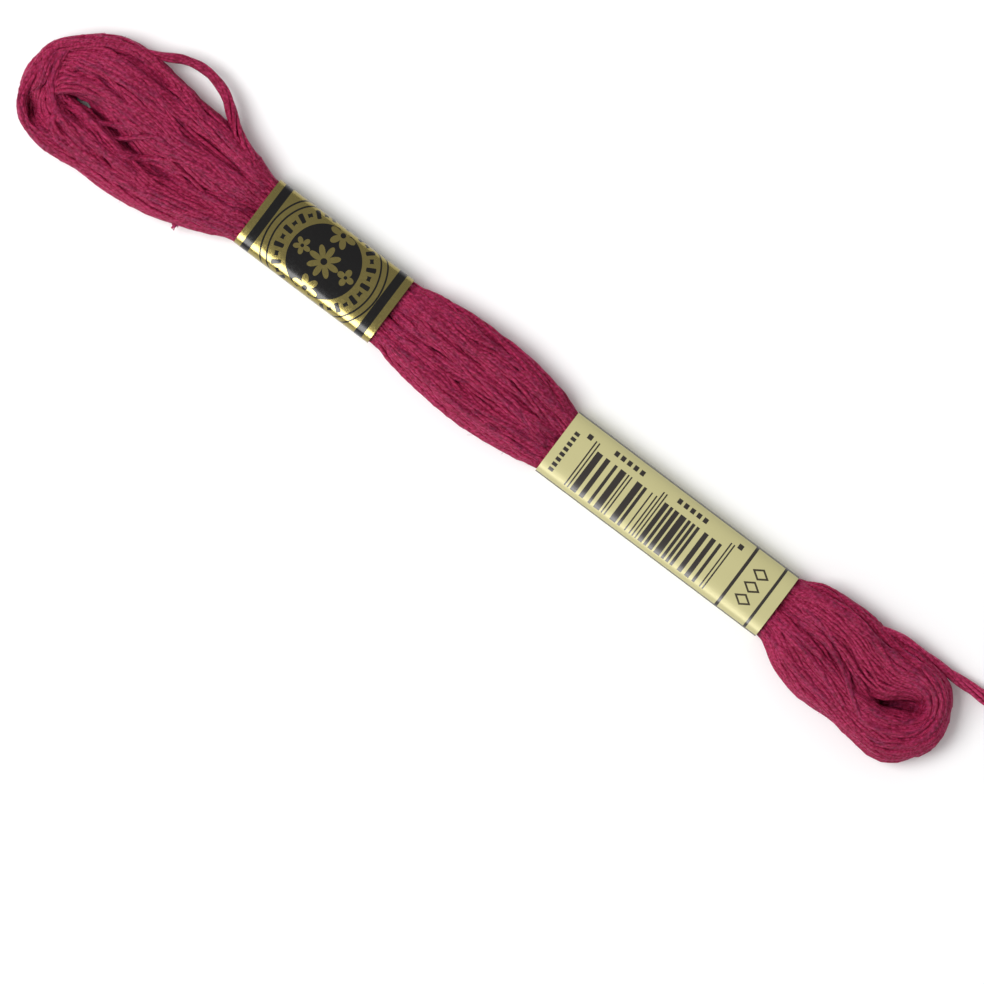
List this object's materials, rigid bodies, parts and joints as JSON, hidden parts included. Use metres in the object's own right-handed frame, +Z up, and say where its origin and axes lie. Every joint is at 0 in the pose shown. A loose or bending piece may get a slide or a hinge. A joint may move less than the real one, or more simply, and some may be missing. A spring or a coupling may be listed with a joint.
{
  "type": "skein of embroidery floss",
  "caption": "Skein of stranded cotton embroidery floss: a long flat winding of raspberry thread, held by a gold and black paper band and a cream paper band, with a loose end.",
  "frame": {"origin": "on the surface that the skein lies on, under the middle of the winding's box, the loose end not counted", "axes": "+X along the skein from its wide end to its narrow end, +Y across it towards the side where the stray turn and the loose end are, +Z up"},
  "size_m": [0.1922, 0.0239, 0.0073],
  "materials": {
    "floss": "satin",
    "foil_paper": "satin",
    "cream_paper": "satin"
  },
  "bodies": {
    "root": {"floss_hank": "floss", "band_foil": "foil_paper", "band_cream": "cream_paper", "loose_end": "floss"}
  },
  "joints": []
}
